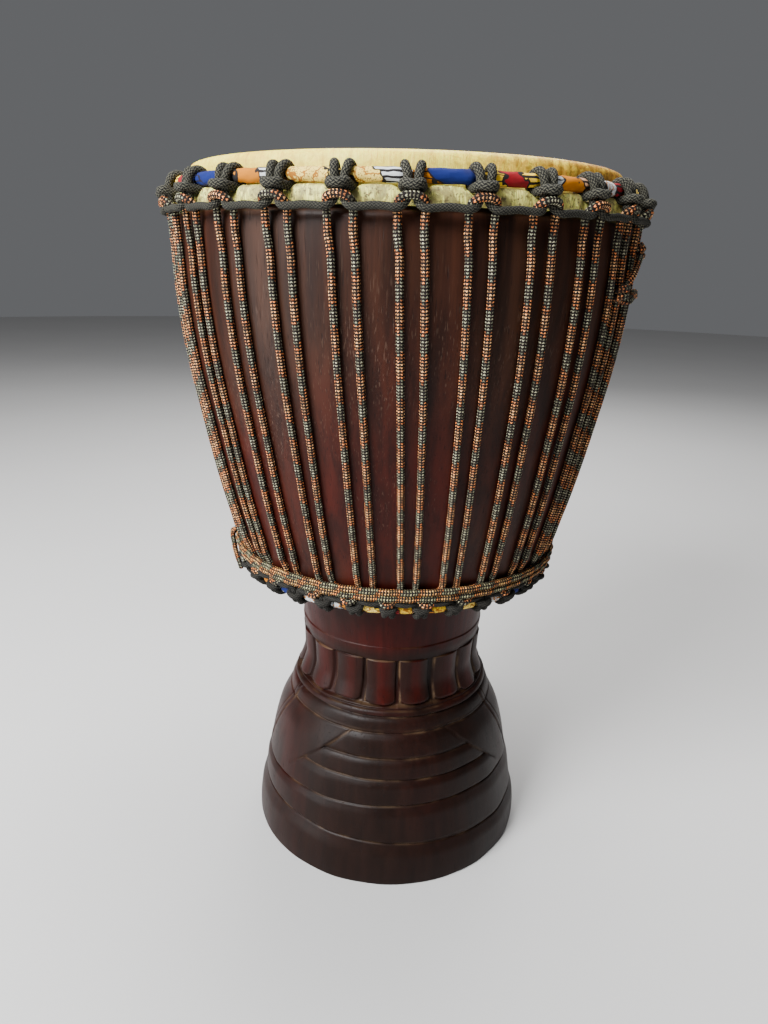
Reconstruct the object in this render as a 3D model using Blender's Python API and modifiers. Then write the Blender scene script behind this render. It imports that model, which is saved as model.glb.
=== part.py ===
"""Rope-tuned goblet drum (djembe): a carved hardwood shell, a skin head rolled round a hoop,
two cloth-wrapped rings with cradle ropes, and a laced tension rope.

Metres, +Z up. The drum stands on its foot at z = 0 with its axis on the Z axis. An azimuth is
measured in degrees from -Y (the front) towards +X.
"""

import math

import bpy
from mathutils import Vector

# Driving dimensions
HEIGHT = 0.580  # foot to the top of the skin
SEGMENTS = 32  # steps of every turned piece
GAP = 0.0003  # between pieces that touch

# Lacing
LOOPS = 27  # arches of the tension rope, and knots on the crown ring
STEP = 360 / LOOPS
FRONT_KNOT = 0.4  # azimuth of the crown knot nearest the front
HALF_PAIR = 2.45  # azimuth from a knot to each of its two strands
DRIFT = 13.0  # how far the strands lean, in degrees of azimuth for each metre downwards
LOWER_KNOTS = 33
LOWER_FRONT_KNOT = -2.15
ROPE_R = 0.0025  # tension rope
CRADLE_R = 0.0023  # cradle ropes

# Shell: outer side of the bowl from the bearing edge down to the neck (radius, height)
EDGE = [(0.1590, 0.5788), (0.1626, 0.5776), (0.1642, 0.5740), (0.1642, 0.5620)]
SHOULDER = [(0.1660, 0.5560), (0.1700, 0.5490), (0.1730, 0.5400)]
BELLY = [(0.1763, 0.5200), (0.1703, 0.4550), (0.1562, 0.3780), (0.1336, 0.2900)]
BOWL_BASE = [(0.1275, 0.2800), (0.1190, 0.2720), (0.1060, 0.2640), (0.0950, 0.2580)]
NECK = [(0.0885, 0.2500), (0.0850, 0.2360), (0.0808, 0.1965)]
# The band of staves stands proud of the neck, and each tier below ends in a groove
STAVE_BAND = [(0.0824, 0.1955), (0.0820, 0.1750), (0.0880, 0.1520)]
TIERS = [
    [(0.0868, 0.1480), (0.0904, 0.1450), (0.0962, 0.1340)],
    [(0.0950, 0.1315), (0.0986, 0.1290), (0.1090, 0.1010), (0.1152, 0.0740)],
    [(0.1140, 0.0715), (0.1172, 0.0690), (0.1232, 0.0410)],
    [(0.1222, 0.0385), (0.1247, 0.0360), (0.1265, 0.0080), (0.1252, 0.0)],
]
# Inner side, from the foot up through the throat to the bearing edge
BORE = [
    (0.1080, 0.0),
    (0.0970, 0.0500),
    (0.0750, 0.1100),
    (0.0530, 0.1650),
    (0.0450, 0.2100),
    (0.0530, 0.2500),
    (0.0900, 0.2860),
    (0.1250, 0.3300),
    (0.1460, 0.4000),
    (0.1580, 0.4700),
    (0.1620, 0.5200),
    (0.1530, 0.5600),
    (0.1535, 0.5750),
]

# Head
SKIN = 0.0009  # skin thickness
# Both sides of the membrane and its collar, from the axis to the roll: (radius, height)
SKIN_OUTER = [(0.0, HEIGHT), (0.1592, HEIGHT), (0.1633, 0.5786), (0.1654, 0.5742)]
SKIN_OUTER += [(0.1654, 0.5614), (0.1684, 0.5562)]
SKIN_INNER = [(0.0, HEIGHT - SKIN), (0.1590, HEIGHT - SKIN), (0.1628, 0.5779), (0.1645, 0.5741)]
SKIN_INNER += [(0.1645, 0.5618), (0.1676, 0.5562)]
HOOP_CENTRE = Vector((0.1743, 0.5512))
HOOP_R = 0.00275
TURN_END = 120  # how far the skin is rolled round the hoop, measured from the outward side

# Rings
ROD_SIDES = 6
RING_R = 0.0026
CLOTH_R = (0.0032, 0.0040)  # inner and outer radius of the cloth wrap
HALF_SEAM = 6  # degrees of the wrap's section, from the inner side to each edge of the cloth
CROWN_RING = Vector((0.1757, 0.5644))
LOWER_RING = Vector((0.1290, 0.2665))

# Ropes
ARCH = Vector((0.1861, 0.5530))  # top of each arch of the tension rope
ARCH_SIDES = (0.75, 0.0020)  # of an arch's bend on each side: share of HALF_PAIR, drop
STRAND_TOP = (0.1802, 0.5462)  # behind the crown rope's run
BIGHT = Vector((0.1318, 0.2790))  # bottom of each bight between two arches
BIGHT_HALF = 3.0  # azimuth from a bight's middle to each of its corners
TURN_R = 0.0084  # corners of a cradle rope's centreline round its wrapped ring
TURN_STEP = 72  # between those corners
# The crown rope from its run between two knots up to the ring: (azimuth, radius, height)
CROWN_NECK = [(1.2, 0.1873, 0.5446), (0.8, 0.1812, 0.5486), (0.8, 0.1812, 0.5550)]
CROWN_TURN = 0.0027  # sideways from a crown knot's middle to each turn over the ring
CROWN_BIGHT = (0.0098, 0.00735)  # sideways to where the bight leaves the turn, and to its front corner
CROWN_BIGHT_BACK = 0.0060  # of the bight's back corner, inwards from the ring's centre
CROWN_BIGHT_FRONT = 0.0123  # of its front corner, outwards
CROWN_BIGHT_RISE = 0.0004  # from its front corner to its back corner
LOWER_REACH = 0.0058  # sideways from a lower knot's middle to each end of its turns
LOWER_TURNS = 2
LOWER_TURN_START = 60  # degrees above the outward side
BELT_TOP = (0.1400, 0.2850)  # where the belt rope's first turn starts
BELT_STEP = (0.0008, 0.0053)  # how far in and down each turn goes
BELT_TURNS = 2
BELT_START = -81.0  # azimuth
# The belt rope's loose end, from the belt to its tip: (azimuth, radius, height)
TAIL = [(-81.7, 0.1406, 0.2857), (-83.2, 0.1425, 0.2860), (-84.8, 0.1447, 0.2835)]
TAIL += [(-85.2, 0.1452, 0.2785), (-85.2, 0.1445, 0.2730), (-85.0, 0.1437, 0.2670)]
TAIL += [(-84.6, 0.1420, 0.2600), (-84.3, 0.1398, 0.2530), (-84.0, 0.1382, 0.2470)]
# The spare end of the tension rope, woven across the strands in two rows: (azimuth, height)
WEAVE_UPPER = (70.0, 0.5310)  # where the upper row turns down
WEAVE_SLOPE = [(66.0, 0.5210), (61.0, 0.5070)]  # from there to the lower row
WEAVE_LOWER = (56.5, 0.4970)  # where the lower row starts
WEAVE_END = 144.0  # azimuth of both rows' far ends
WEAVE_CLEAR = 0.0055  # from a strand's centreline to the woven rope's


def around(radius, azimuth, z):
    """A point at a radius and azimuth about the drum's axis."""
    angle = math.radians(azimuth)
    return Vector((radius * math.sin(angle), -radius * math.cos(angle), z))


def material(name, colour, roughness, metallic=0.0):
    made = bpy.data.materials.new(name)
    made.use_nodes = True
    shader = made.node_tree.nodes["Principled BSDF"]
    shader.inputs["Base Color"].default_value = (*colour, 1.0)
    shader.inputs["Roughness"].default_value = roughness
    shader.inputs["Metallic"].default_value = metallic
    return made


def turned(name, profile, look, parts):
    """A closed (radius, height) outline swept round the Z axis by a Screw modifier."""
    mesh = bpy.data.meshes.new(name)
    edges = [(i, (i + 1) % len(profile)) for i in range(len(profile))]
    mesh.from_pydata([(r, 0.0, z) for r, z in profile], edges, [])
    made = bpy.data.objects.new(name, mesh)
    parts.objects.link(made)
    screw = made.modifiers.new("turn", "SCREW")
    screw.angle = math.tau
    screw.steps = SEGMENTS
    screw.render_steps = SEGMENTS
    screw.use_merge_vertices = True
    screw.merge_threshold = 0.0001
    screw.use_smooth_shade = True
    made.data.materials.append(look)


def tube(name, points, radius, look, parts, closed=False, sides=6):
    """A rope as a POLY curve with a round bevel."""
    curve = bpy.data.curves.new(name, "CURVE")
    curve.dimensions = "3D"
    curve.bevel_depth = radius
    curve.bevel_resolution = (sides - 4) // 2
    curve.use_fill_caps = not closed
    curve.twist_mode = "MINIMUM"
    spline = curve.splines.new("POLY")
    spline.points.add(len(points) - 1)
    for target, point in zip(spline.points, points):
        target.co = (*point, 1.0)
    spline.use_cyclic_u = closed
    made = bpy.data.objects.new(name, curve)
    parts.objects.link(made)
    made.data.materials.append(look)


def arc(centre, radius, first, last, steps):
    """Points on an arc in the (radius, height) plane, angles from the outward side."""
    angles = [math.radians(first + (last - first) * i / steps) for i in range(steps + 1)]
    return [(centre.x + radius * math.cos(a), centre.y + radius * math.sin(a)) for a in angles]


def shell_outline():
    tiers = [point for tier in TIERS for point in tier]
    return EDGE + SHOULDER + BELLY + BOWL_BASE + NECK + STAVE_BAND + tiers + BORE


def make_shell(parts):
    turned("shell", shell_outline(), material("dark_wood", (0.035, 0.014, 0.010), 0.38), parts)


def skin_outline():
    """The membrane, its collar over the bearing edge and the roll round the hoop, as one section."""
    inside = HOOP_R + GAP
    outside = inside + SKIN
    turn = arc(HOOP_CENTRE, outside, 200, 360 + TURN_END, 6)
    back = arc(HOOP_CENTRE, inside, 360 + TURN_END, 180, 6)
    return SKIN_OUTER + turn + back + SKIN_INNER[::-1]


def make_skin(parts):
    turned("drum_skin", skin_outline(), material("goat_skin", (0.78, 0.72, 0.55), 0.6), parts)


def make_rods(parts):
    steel = material("ring_steel", (0.55, 0.55, 0.55), 0.35, 1.0)
    rods = (("flesh_hoop", HOOP_CENTRE, HOOP_R), ("crown_ring", CROWN_RING, RING_R))
    for name, centre, radius in rods + (("lower_ring", LOWER_RING, RING_R),):
        outline = arc(centre, radius, 90, 90 - 360 + 360 / ROD_SIDES, ROD_SIDES - 1)
        turned(name, outline, steel, parts)


def make_cloth(name, centre, look, parts):
    """A cloth strip wrapped round a ring, its edges meeting at a seam on the inner side."""
    inner, outer = CLOTH_R
    outer_arc = arc(centre, outer, 180 - HALF_SEAM, HALF_SEAM - 180, 6)
    inner_arc = arc(centre, inner, HALF_SEAM - 180, 180 - HALF_SEAM, 6)
    turned(name, outer_arc + inner_arc, look, parts)


def knot_azimuths():
    return [FRONT_KNOT + STEP * i for i in range(LOOPS)]


def crown_knot(azimuth):
    """One cow hitch of the crown rope, in the order in which the rope runs.

    Each end comes up behind an arch of the tension rope and turns over the ring, and the bight
    between the two turns lies across the front of both.
    """
    centre = CROWN_RING
    near = math.degrees(CROWN_TURN / centre.x)
    wide, corner = (math.degrees(side / centre.x) for side in CROWN_BIGHT)
    half = list(CROWN_NECK)
    half += [(near, out, rise) for out, rise in arc(centre, TURN_R, 0, 2 * TURN_STEP, 2)]
    below = centre.y - CLOTH_R[1] - GAP - CRADLE_R
    half.append((wide, centre.x - CROWN_BIGHT_BACK, below + CROWN_BIGHT_RISE))
    half.append((corner, centre.x + CROWN_BIGHT_FRONT, below))
    first = [around(radius, azimuth - step, z) for step, radius, z in half]
    second = [around(radius, azimuth + step, z) for step, radius, z in reversed(half)]
    return first + second


def lower_knot(azimuth):
    """The turns of the lower cradle rope round its ring, in the order in which the rope runs."""
    reach = math.degrees(LOWER_REACH / LOWER_RING.x)
    sweep = LOWER_TURNS * 360
    turns = arc(LOWER_RING, TURN_R, LOWER_TURN_START, LOWER_TURN_START - sweep, sweep // TURN_STEP)
    steps = [azimuth + reach * (2 * i / (len(turns) - 1) - 1) for i in range(len(turns))]
    return [around(radius, step, z) for step, (radius, z) in zip(steps, turns)]


def make_cradles(parts):
    black = material("black_cord", (0.02, 0.02, 0.02), 0.9)
    crown = [point for azimuth in knot_azimuths() for point in crown_knot(azimuth)]
    tube("crown_cradle_rope", crown, CRADLE_R, black, parts, closed=True, sides=4)
    lower = []
    for i in range(LOWER_KNOTS):
        lower += lower_knot(LOWER_FRONT_KNOT + 360 * i / LOWER_KNOTS)
    tube("lower_cradle_rope", lower, CRADLE_R, black, parts, closed=True, sides=4)


def lean(z):
    """How far round a strand has moved at a height."""
    return DRIFT * (ARCH.y - z)


def strand(azimuth, upwards):
    """One straight strand on the bowl, in the order in which the rope runs."""
    clear = GAP + ROPE_R
    points = [around(STRAND_TOP[0], azimuth, STRAND_TOP[1])]
    points += [around(radius + clear, azimuth + lean(z), z) for radius, z in BELLY]
    return points[::-1] if upwards else points


def make_tension_rope(look, parts):
    """Up, over an arch hung on the crown cradle, down, and round a bight below the belt."""
    aside, drop = ARCH_SIDES[0] * HALF_PAIR, ARCH_SIDES[1]
    points = []
    for azimuth in knot_azimuths():
        points += strand(azimuth - HALF_PAIR, upwards=True)
        points.append(around(ARCH.x, azimuth - aside, ARCH.y - drop))
        points.append(around(ARCH.x, azimuth, ARCH.y))
        points.append(around(ARCH.x, azimuth + aside, ARCH.y - drop))
        points += strand(azimuth + HALF_PAIR, upwards=False)
        low = azimuth + STEP / 2 + lean(BIGHT.y)
        points.append(around(BIGHT.x, low - BIGHT_HALF, BIGHT.y))
        points.append(around(BIGHT.x, low + BIGHT_HALF, BIGHT.y))
    tube("tension_rope", points, ROPE_R, look, parts, closed=True)


def strand_radius(z):
    """Radius of a strand's centreline on the belly."""
    for (r_high, high), (r_low, low) in zip(BELLY, BELLY[1:]):
        if low <= z:
            break
    return r_low + (r_high - r_low) * (z - low) / (high - low) + GAP + ROPE_R


def weave_row(start):
    """(azimuth, height) of a row of the weave, from its start to the far end."""
    first, z = start
    count = round((WEAVE_END - first) / (STEP / 2))
    return [(first + (WEAVE_END - first) * i / count, z) for i in range(count + 1)]


def make_weave(look, parts):
    """The spare end of the tension rope, in one row across the strands and one back below it."""
    route = weave_row(WEAVE_UPPER)[::-1] + WEAVE_SLOPE + weave_row(WEAVE_LOWER)
    points = [around(strand_radius(z) + WEAVE_CLEAR, azimuth, z) for azimuth, z in route]
    tube("tension_rope_weave", points, ROPE_R, look, parts)


def make_belt(look, parts):
    """The belt rope's two turns over the strands, and its loose end."""
    count = round(BELT_TURNS * 360 / (STEP / 2))
    points = []
    for i in range(count + 1):
        turns = i * BELT_TURNS / count
        radius = BELT_TOP[0] - turns * BELT_STEP[0]
        points.append(around(radius, BELT_START + 360 * turns, BELT_TOP[1] - turns * BELT_STEP[1]))
    tube("belt_rope", points, ROPE_R, look, parts, sides=4)
    tail = [around(radius, azimuth, z) for azimuth, radius, z in TAIL]
    tube("belt_rope_tail", tail, ROPE_R, look, parts)


def main():
    for old in list(bpy.data.objects):
        bpy.data.objects.remove(old, do_unlink=True)
    parts = bpy.data.collections.new("djembe")
    bpy.context.scene.collection.children.link(parts)
    make_shell(parts)
    make_skin(parts)
    make_rods(parts)
    cloth = material("print_cloth", (0.55, 0.32, 0.08), 0.85)
    make_cloth("crown_ring_cloth", CROWN_RING, cloth, parts)
    make_cloth("lower_ring_cloth", LOWER_RING, cloth, parts)
    make_cradles(parts)
    patterned = material("patterned_rope", (0.25, 0.14, 0.08), 0.85)
    make_tension_rope(patterned, parts)
    make_weave(patterned, parts)
    make_belt(patterned, parts)


main()
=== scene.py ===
"""Looks of the djembe: carved shell, skin, cloth-wrapped rings, braided ropes, light and camera.

Metres, +Z up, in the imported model's frame. An azimuth is measured in degrees from -Y (the front)
towards +X. Lengths written as MM * n are in millimetres.
"""

import math

import bpy
import numpy as np
from mathutils import Euler, Matrix, Vector


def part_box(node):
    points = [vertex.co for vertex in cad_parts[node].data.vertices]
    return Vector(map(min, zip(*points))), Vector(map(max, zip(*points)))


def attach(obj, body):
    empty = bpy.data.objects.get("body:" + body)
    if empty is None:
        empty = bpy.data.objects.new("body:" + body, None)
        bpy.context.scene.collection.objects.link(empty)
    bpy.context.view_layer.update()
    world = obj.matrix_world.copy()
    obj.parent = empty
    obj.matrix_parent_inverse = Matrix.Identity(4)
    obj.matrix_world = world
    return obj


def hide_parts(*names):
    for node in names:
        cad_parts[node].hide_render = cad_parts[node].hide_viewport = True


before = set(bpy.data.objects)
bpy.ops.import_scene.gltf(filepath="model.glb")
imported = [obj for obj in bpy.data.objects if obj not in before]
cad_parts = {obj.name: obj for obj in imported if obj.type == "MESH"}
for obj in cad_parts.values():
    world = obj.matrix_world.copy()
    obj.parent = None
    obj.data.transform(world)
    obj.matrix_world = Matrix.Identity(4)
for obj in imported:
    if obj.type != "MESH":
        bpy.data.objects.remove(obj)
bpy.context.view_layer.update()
MM = 0.001
TURN = 2 * math.pi

# Lacing
LOOPS = 27
STEP = 360 / LOOPS
FRONT_KNOT = 0.4  # azimuth
HALF_PAIR = 2.45  # degrees between a strand and its pair's middle
DRIFT = 13.0  # degrees round for each metre down
LOWER_KNOTS = 33
LOWER_STEP = 360 / LOWER_KNOTS
LOWER_FRONT_KNOT = -2.15
ROPE_R = 2.45 * MM  # of the patterned rope
RUN_R = 2.25  # mm, of the black rope where it is drawn straight
KNOT_R = 2.7  # mm, of the black rope where it is knotted
LOWER_RUN_R = 2.1
LOWER_KNOT_R = 2.3
RING_WRAP_R = 4.25 * MM  # of the wrapped crown ring between two knots
LOWER_WRAP_R = 4.0 * MM
PINCHED_R = 2.95 * MM  # of a wrapped ring under a knot

RODS = ("flesh_hoop", "crown_ring", "lower_ring")


def rod_centre(name):
    """Radius and height of the middle of a ring's rod."""
    low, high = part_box(name)
    return high.x - (high.z - low.z) / 2, (low.z + high.z) / 2


HOOP, CROWN, LOWER = (rod_centre(name) for name in RODS)
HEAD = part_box("drum_skin")[1].z


def add_object(name, data):
    made = bpy.data.objects.new(name, data)
    bpy.context.scene.collection.objects.link(made)
    return made


# ---- camera

CAMERA_AT = (-0.01005, -0.65866, 0.52095)
CAMERA_LENS = 36.10
CAMERA_DOWN = 18.535  # degrees below level
CAMERA_ROLL = 1.528


def add_camera():
    """The photo's viewpoint."""
    data = bpy.data.cameras.new("camera")
    data.sensor_fit = "HORIZONTAL"
    data.sensor_width = 36.0
    data.lens = CAMERA_LENS
    made = add_object("camera", data)
    made.location = CAMERA_AT
    pitch = Euler((math.radians(90 - CAMERA_DOWN), 0, 0)).to_matrix()
    roll = Matrix.Rotation(math.radians(CAMERA_ROLL), 3, "Z")
    made.rotation_euler = (pitch @ roll).to_euler()
    bpy.context.scene.camera = made


add_camera()


# ---- geometry helpers

def around(radius, azimuth, z):
    """Points at a radius, azimuth and height about the drum's axis."""
    angle = np.radians(azimuth)
    radius, angle, z = np.broadcast_arrays(radius, angle, z)
    return np.stack([radius * np.sin(angle), -radius * np.cos(angle), z], axis=-1).astype(float)


def beside(azimuth, points, thick=None):
    """(sideways, radius, height) triples in mm placed about an azimuth, with the rope's radius if given."""
    side, radius, z = np.array(points, float).T * MM
    placed = around(radius, azimuth + np.degrees(side / radius), z)
    return placed if thick is None else np.column_stack([placed, np.array(thick) * MM])


def smoothstep(low, high, value):
    t = np.clip((value - low) / (high - low), 0, 1)
    return t * t * (3 - 2 * t)


def waves(angle, seed, count, lowest=1, highest=9):
    """A smooth periodic wobble of an azimuth in degrees, about one unit high."""
    rng = np.random.default_rng(seed)
    total = np.zeros(np.shape(angle))
    for _ in range(count):
        turns = rng.integers(lowest, highest + 1)
        total = total + np.sin(np.radians(angle) * turns + rng.uniform(0, 6.28)) / math.sqrt(count)
    return total


def mesh_object(name, grid, look, uv, along_closed=False, attributes=()):
    """A smooth quad mesh on a grid of points [along, around] that closes around itself."""
    rows, columns = grid.shape[:2]
    down = rows if along_closed else rows - 1
    i, j = np.meshgrid(np.arange(down), np.arange(columns), indexing="ij")
    i2, j2 = (i + 1) % rows, (j + 1) % columns
    corners = [i * columns + j, i * columns + j2, i2 * columns + j2, i2 * columns + j]
    quads = np.stack(corners, axis=-1).reshape(-1, 4)
    mesh = bpy.data.meshes.new(name)
    mesh.vertices.add(rows * columns)
    mesh.vertices.foreach_set("co", grid.reshape(-1).astype(np.float32))
    mesh.loops.add(len(quads) * 4)
    mesh.loops.foreach_set("vertex_index", quads.reshape(-1).astype(np.int32))
    mesh.polygons.add(len(quads))
    mesh.polygons.foreach_set("loop_start", np.arange(len(quads), dtype=np.int32) * 4)
    mesh.polygons.foreach_set("loop_total", np.full(len(quads), 4, np.int32))
    mesh.update(calc_edges=True)
    mesh.polygons.foreach_set("use_smooth", np.ones(len(quads), bool))
    u, v = uv
    corner_u = np.stack([u[j], u[j + 1], u[j + 1], u[j]], axis=-1)
    corner_v = np.stack([v[i], v[i], v[i + 1], v[i + 1]], axis=-1)
    layer = mesh.uv_layers.new(name="wrap")
    layer.uv.foreach_set("vector", np.stack([corner_u, corner_v], axis=-1).reshape(-1).astype(np.float32))
    for label, values in attributes:
        layer = mesh.attributes.new(label, "FLOAT", "POINT")
        layer.data.foreach_set("value", values.reshape(-1).astype(np.float32))
    mesh.validate()
    mesh.materials.append(look)
    return add_object(name, mesh)


def install(piece, node):
    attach(piece, "root")
    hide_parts(node)
    return piece


def tangents(spans, slopes):
    """A slope at each point of a line, from the slopes of the spans between them."""
    inner = (slopes[:-1] * spans[1:] + slopes[1:] * spans[:-1]) / (spans[1:] + spans[:-1])
    return np.concatenate([slopes[:1], inner, slopes[-1:]])


def cubic(t, span, start, end, slope, end_slope):
    """The point a share t along a span, on a cubic with the slopes given."""
    a = (2 * t**3 - 3 * t**2 + 1) * start + (t**3 - 2 * t**2 + t) * span * slope
    return a + (-2 * t**3 + 3 * t**2) * end + (t**3 - t**2) * span * end_slope


def smooth_path(points, step, closed):
    """A smooth curve through unevenly spaced points, as points a step apart."""
    p = np.array(points, float)
    if closed:
        p = np.vstack([p[-1:], p, p[:2]])
    spans = np.linalg.norm(np.diff(p[:, :3], axis=0), axis=1)[:, None]
    slopes = tangents(spans, np.diff(p, axis=0) / spans)
    first, last = (1, len(p) - 2) if closed else (0, len(p) - 1)
    dense = []
    for k in range(first, last):
        count = max(2, math.ceil(spans[k, 0] / (0.5 * step)))
        t = (np.arange(count) / count)[:, None]
        dense.append(cubic(t, spans[k], p[k], p[k + 1], slopes[k], slopes[k + 1]))
    dense = np.vstack(dense + [p[last][None]])
    length = np.concatenate([[0], np.cumsum(np.linalg.norm(np.diff(dense[:, :3], axis=0), axis=1))])
    count = max(8, round(length[-1] / step))
    want = np.linspace(0, length[-1], count + 1)
    return np.stack([np.interp(want, length, column) for column in dense.T], axis=-1), length[-1]


def steady_frames(path, closed):
    """Unit normals and binormals along a path, turning with it as little as they can."""
    ahead = np.roll(path, -1, axis=0) - np.roll(path, 1, axis=0)
    if closed:
        ahead[0] = ahead[-1] = path[1] - path[-2]
    else:
        ahead[0] = path[1] - path[0]
        ahead[-1] = path[-1] - path[-2]
    ahead /= np.linalg.norm(ahead, axis=1)[:, None]
    start = np.cross(ahead[0], (0.3, 0.2, 0.9))
    nx, ny, nz = start / np.linalg.norm(start)
    normals = []
    for tx, ty, tz in ahead.tolist():
        dot = nx * tx + ny * ty + nz * tz
        nx, ny, nz = nx - dot * tx, ny - dot * ty, nz - dot * tz
        size = math.sqrt(nx * nx + ny * ny + nz * nz)
        nx, ny, nz = nx / size, ny / size, nz / size
        normals.append((nx, ny, nz))
    normals = np.array(normals)
    binormals = np.cross(ahead, normals)
    if closed:
        turn = math.atan2(normals[-1] @ binormals[0], normals[-1] @ normals[0])
        fix = -turn * np.linspace(0, 1, len(path))[:, None]
        normals, binormals = (
            np.cos(fix) * normals + np.sin(fix) * binormals,
            np.cos(fix) * binormals - np.sin(fix) * normals,
        )
    return normals, binormals


# ---- ropes

ROPE_SIDES = 24
ROPE_STEP = 0.56 * MM
STITCH_COLUMNS = 6
STITCH_REPEAT = 15  # rows in one orange and one grey stretch
STITCH_PITCH = 2.05 * MM
STITCH_SLANT = 0.8  # rows that a stitch drops from its middle to its sides


def stitch_relief(u, v):
    """Rows of small stitches, each a shallow V, in columns along the rope."""
    across = u % 1.0 - 0.5
    along = 0.5 + 0.5 * np.cos(TURN * (v - STITCH_SLANT * np.abs(across)))
    return (0.5 + 0.5 * np.cos(TURN * across)) * (0.35 + 0.65 * along)


def braid_relief(u, v):
    """Two sets of yarns winding opposite ways, one over the other in turn."""
    a, b = u + v, u - v
    over = (np.floor(a) + np.floor(b)) % 2
    return np.where(over == 0, np.sin(np.pi * (a % 1.0)), np.sin(np.pi * (b % 1.0)))


# Columns round the rope, rows in one repeat, length of a row, shape and slot
PATTERNED = (STITCH_COLUMNS, STITCH_REPEAT, STITCH_PITCH, stitch_relief, "patterned_rope")
BLACK_BRAID = (8, 2, 2.5 * MM, braid_relief, "black_rope")


def rope(name, node, points, radius, look, patterned=True, closed=False, cuts=1, ends=(False, False)):
    """A braided rope along a path, in one or more pieces. It returns the pieces, path and length.

    A fourth column in the points is the rope's radius there, in place of the radius given."""
    path, length = smooth_path(points, ROPE_STEP, closed)
    if path.shape[1] == 4:
        path, radius = path[:, :3], path[:, 3:]
    thick = np.broadcast_to(radius / MM, (len(path), ROPE_SIDES))
    normals, binormals = steady_frames(path, closed)
    columns, repeat, pitch, relief, slot = PATTERNED if patterned else BLACK_BRAID
    rows = repeat * max(1, round(length / (pitch * repeat)))
    v = np.linspace(0, rows, len(path))
    u = np.arange(ROPE_SIDES + 1) / ROPE_SIDES * columns
    theta = (u[:-1] / columns * 2 * np.pi)[None, :, None]
    height = radius + MM * (0.34 * relief(u[None, :-1], v[:, None]) - 0.20)
    taper = np.ones(len(path))
    from_start = np.linspace(0, length, len(path))
    for end, distance in zip(ends, (from_start, length - from_start)):
        if end:
            taper = taper * np.sqrt(np.clip(distance / (0.7 * ROPE_R), 0.0, 1))
    height = (height * taper[:, None])[..., None]
    grid = path[:, None] + height * (np.cos(theta) * normals[:, None] + np.sin(theta) * binormals[:, None])
    marks = np.linspace(0, len(path) - 1, cuts + 1).round().astype(int)
    pieces = []
    for k, (low, high) in enumerate(zip(marks, marks[1:])):
        label = name if cuts == 1 else f"{name}_{k + 1}"
        part = slice(low, high + 1)
        made = mesh_object(label, grid[part], look, (u, v[part]), attributes=(("thick", thick[part]),))
        pieces.append(install(made, node))
    return pieces, path, length


# ---- materials

class Value:
    """A node's output, with arithmetic that adds Math nodes."""

    def __init__(self, look, socket):
        self.look = look
        self.socket = socket

    def operation(name):
        return lambda self, other=None: self.look.math(name, self, other)

    __add__ = operation("ADD")
    __sub__ = operation("SUBTRACT")
    __mul__ = operation("MULTIPLY")
    __truediv__ = operation("DIVIDE")
    __mod__ = operation("MODULO")
    __abs__ = operation("ABSOLUTE")
    above = operation("GREATER_THAN")
    least = operation("MINIMUM")
    floor = operation("FLOOR")
    fract = operation("FRACT")
    sin = operation("SINE")
    cos = operation("COSINE")


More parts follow.
